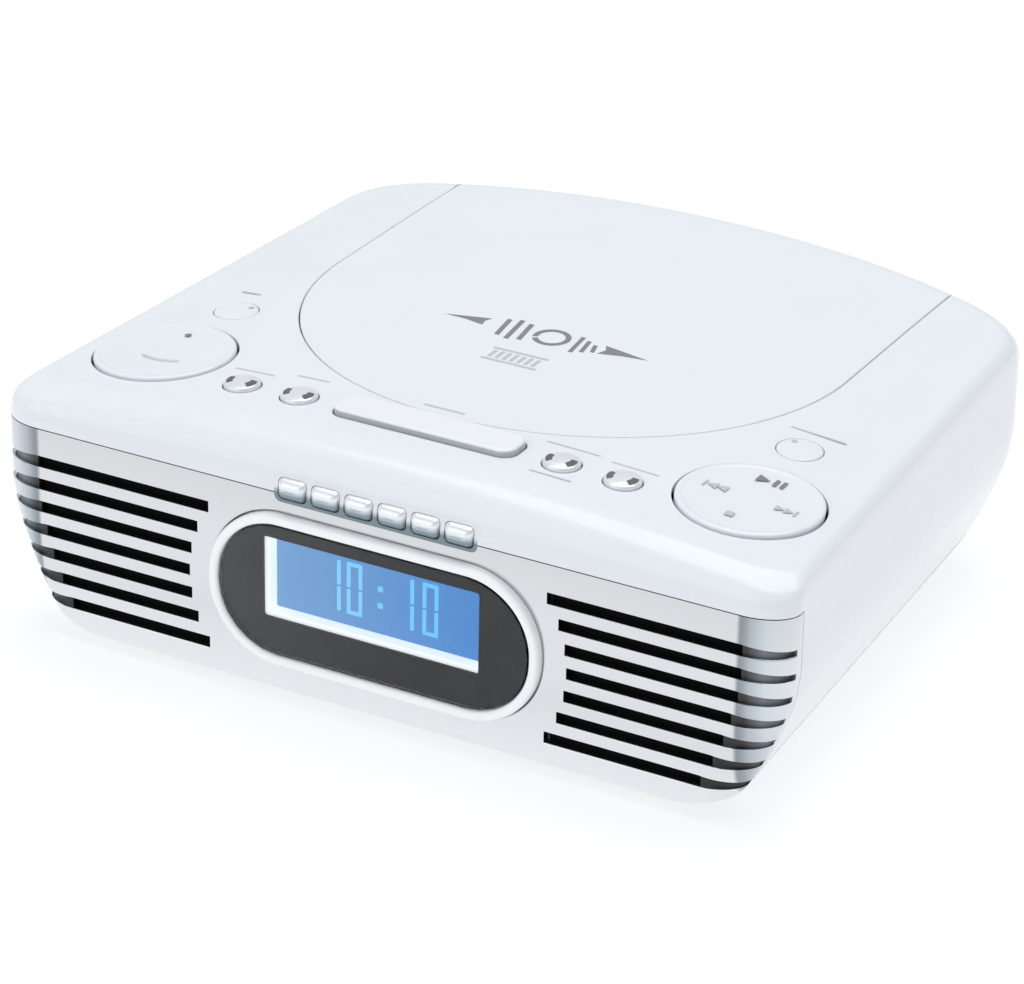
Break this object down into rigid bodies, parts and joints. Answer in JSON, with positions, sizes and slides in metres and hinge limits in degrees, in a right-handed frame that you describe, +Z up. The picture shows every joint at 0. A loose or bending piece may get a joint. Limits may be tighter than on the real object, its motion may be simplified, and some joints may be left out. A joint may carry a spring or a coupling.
{
  "type": "clock radio",
  "caption": "White clock radio with a chromed slotted front, blue backlit clock display and a top-loading hinged disc lid.",
  "frame": {"origin": "bottom centre of the bounding box, on the plane of the feet", "axes": "+X to the listener's right seen from the front, +Y to the back, +Z up; the display faces -Y"},
  "size_m": [0.234, 0.2014, 0.0777],
  "materials": {
    "white_gloss": "high gloss",
    "white_satin": "satin moulded",
    "chrome": "bright plated plastic",
    "steel": "ground steel",
    "smoked_mask": "dark smoked gloss",
    "clear_lens": "clear polished acrylic",
    "lens_glass": "polished",
    "lcd_blue": "backlit blue",
    "black_cloth": "woven black cloth",
    "black_plastic": "satin black",
    "cone_paper": "dark pressed paper",
    "grey_plastic": "moulded acetal",
    "board_green": "solder resist",
    "foot_rubber": "matte"
  },
  "bodies": {
    "body": {"top_housing": "white_gloss", "bottom_housing": "white_satin", "front_grille": "chrome", "display_bezel": "white_gloss", "display_window": "clear_lens", "display_mask": "smoked_mask", "lcd_frame": "white_satin", "lcd_panel": "lcd_blue", "speaker_cloth_left": "black_cloth", "speaker_cloth_right": "black_cloth", "speaker_basket_left": "black_plastic", "speaker_basket_right": "black_plastic", "speaker_cone_left": "cone_paper", "speaker_cone_right": "cone_paper", "hinge_pin_left": "steel", "hinge_pin_right": "steel", "disc_well": "white_satin", "well_floor": "white_satin", "deck_chassis": "black_plastic", "spindle_motor": "steel", "guide_rod_front": "steel", "guide_rod_rear": "steel", "sled_motor": "steel", "key_board": "board_green", "main_board": "board_green", "dc_inlet": "black_plastic", "line_jack": "black_plastic", "battery_door": "white_satin", "backup_battery": "black_plastic", "foot_1": "foot_rubber", "foot_2": "foot_rubber", "foot_3": "foot_rubber", "foot_4": "foot_rubber", "housing_screw_1": "steel", "housing_screw_2": "steel", "housing_screw_3": "steel", "housing_screw_4": "steel"},
    "lid": {"cd_lid": "white_gloss"},
    "clamp": {"disc_clamp": "black_plastic"},
    "turntable": {"turntable": "black_plastic"},
    "sled": {"laser_sled": "black_plastic"},
    "lens": {"laser_lens": "lens_glass"},
    "gear": {"sled_gear": "grey_plastic"},
    "pinion": {"motor_pinion": "grey_plastic"},
    "pad_left": {"pad_left": "white_gloss"},
    "gimbal": {"pad_gimbal": "black_plastic"},
    "pad_right": {"pad_right": "white_gloss"},
    "snooze_bar": {"snooze_bar": "white_gloss"},
    "corner_button_left": {"corner_button_left": "white_gloss"},
    "corner_button_right": {"corner_button_right": "white_gloss"},
    "function_button_1": {"function_button_1": "chrome"},
    "function_button_2": {"function_button_2": "chrome"},
    "function_button_3": {"function_button_3": "chrome"},
    "function_button_4": {"function_button_4": "chrome"},
    "front_key_1": {"front_key_1": "chrome"},
    "front_key_2": {"front_key_2": "chrome"},
    "front_key_3": {"front_key_3": "chrome"},
    "front_key_4": {"front_key_4": "chrome"},
    "front_key_5": {"front_key_5": "chrome"},
    "front_key_6": {"front_key_6": "chrome"}
  },
  "joints": [
    {"name": "lid_hinge", "type": "hinge", "parent": "body", "child": "lid", "pos_m": [0, 0.09235, 0.067], "axis": [-1, 0, 0], "range_deg": [0, 70]},
    {"name": "clamp_spin", "type": "hinge", "parent": "lid", "child": "clamp", "pos_m": [0, 0.01635, 0.071], "axis": [0, 0, 1], "continuous": true},
    {"name": "turntable_spin", "type": "hinge", "parent": "body", "child": "turntable", "pos_m": [0, 0.01635, 0.0648], "axis": [0, 0, 1], "continuous": true},
    {"name": "sled_slide", "type": "slide", "parent": "body", "child": "sled", "axis": [1, 0, 0], "range_m": [0, 0.028]},
    {"name": "sled_gear_spin", "type": "hinge", "parent": "body", "child": "gear", "pos_m": [0.03, -0.01025, 0.055], "axis": [0, 0, 1], "range_deg": [-305, 5]},
    {"name": "motor_pinion_spin", "type": "hinge", "parent": "body", "child": "pinion", "pos_m": [0.04198, -0.01461, 0.054], "axis": [0, 0, 1], "range_deg": [-5, 725]},
    {"name": "lens_focus", "type": "slide", "parent": "sled", "child": "lens", "axis": [0, 0, 1], "range_m": [-0.0005, 0.0005], "stiffness_N_per_m": 30},
    {"name": "pad_left_rock", "type": "hinge", "parent": "body", "child": "pad_left", "pos_m": [-0.0879, -0.06035, 0.06931], "axis": [0, 1, 0], "range_deg": [-2.5, 2.5], "stiffness_Nm_per_rad": 1},
    {"name": "pad_right_tip", "type": "hinge", "parent": "body", "child": "gimbal", "pos_m": [0.0879, -0.06035, 0.0663], "axis": [1, 0, 0], "range_deg": [-2.5, 2.5], "stiffness_Nm_per_rad": 1},
    {"name": "pad_right_rock", "type": "hinge", "parent": "gimbal", "child": "pad_right", "pos_m": [0.0879, -0.06035, 0.06931], "axis": [0, 1, 0], "range_deg": [-2.5, 2.5], "stiffness_Nm_per_rad": 1},
    {"name": "snooze_press", "type": "slide", "parent": "body", "child": "snooze_bar", "axis": [0, 0, -1], "range_m": [0, 0.0015], "stiffness_N_per_m": 600},
    {"name": "corner_left_press", "type": "slide", "parent": "body", "child": "corner_button_left", "axis": [0, 0, -1], "range_m": [0, 0.001], "stiffness_N_per_m": 500},
    {"name": "corner_right_press", "type": "slide", "parent": "body", "child": "corner_button_right", "axis": [0, 0, -1], "range_m": [0, 0.001], "stiffness_N_per_m": 500},
    {"name": "function_1_press", "type": "slide", "parent": "body", "child": "function_button_1", "axis": [0, 0, -1], "range_m": [0, 0.0012], "stiffness_N_per_m": 500},
    {"name": "function_2_press", "type": "slide", "parent": "body", "child": "function_button_2", "axis": [0, 0, -1], "range_m": [0, 0.0012], "stiffness_N_per_m": 500},
    {"name": "function_3_press", "type": "slide", "parent": "body", "child": "function_button_3", "axis": [0, 0, -1], "range_m": [0, 0.0012], "stiffness_N_per_m": 500},
    {"name": "function_4_press", "type": "slide", "parent": "body", "child": "function_button_4", "axis": [0, 0, -1], "range_m": [0, 0.0012], "stiffness_N_per_m": 500},
    {"name": "front_key_1_press", "type": "slide", "parent": "body", "child": "front_key_1", "axis": [0, 1, 0], "range_m": [0, 0.0012], "stiffness_N_per_m": 500},
    {"name": "front_key_2_press", "type": "slide", "parent": "body", "child": "front_key_2", "axis": [0, 1, 0], "range_m": [0, 0.0012], "stiffness_N_per_m": 500},
    {"name": "front_key_3_press", "type": "slide", "parent": "body", "child": "front_key_3", "axis": [0, 1, 0], "range_m": [0, 0.0012], "stiffness_N_per_m": 500},
    {"name": "front_key_4_press", "type": "slide", "parent": "body", "child": "front_key_4", "axis": [0, 1, 0], "range_m": [0, 0.0012], "stiffness_N_per_m": 500},
    {"name": "front_key_5_press", "type": "slide", "parent": "body", "child": "front_key_5", "axis": [0, 1, 0], "range_m": [0, 0.0012], "stiffness_N_per_m": 500},
    {"name": "front_key_6_press", "type": "slide", "parent": "body", "child": "front_key_6", "axis": [0, 1, 0], "range_m": [0, 0.0012], "stiffness_N_per_m": 500}
  ],
  "couplings": [
    {"joint": "sled_gear_spin", "follows": "sled_slide", "rad_per_m": -185.19},
    {"joint": "motor_pinion_spin", "follows": "sled_slide", "rad_per_m": 444.44}
  ]
}
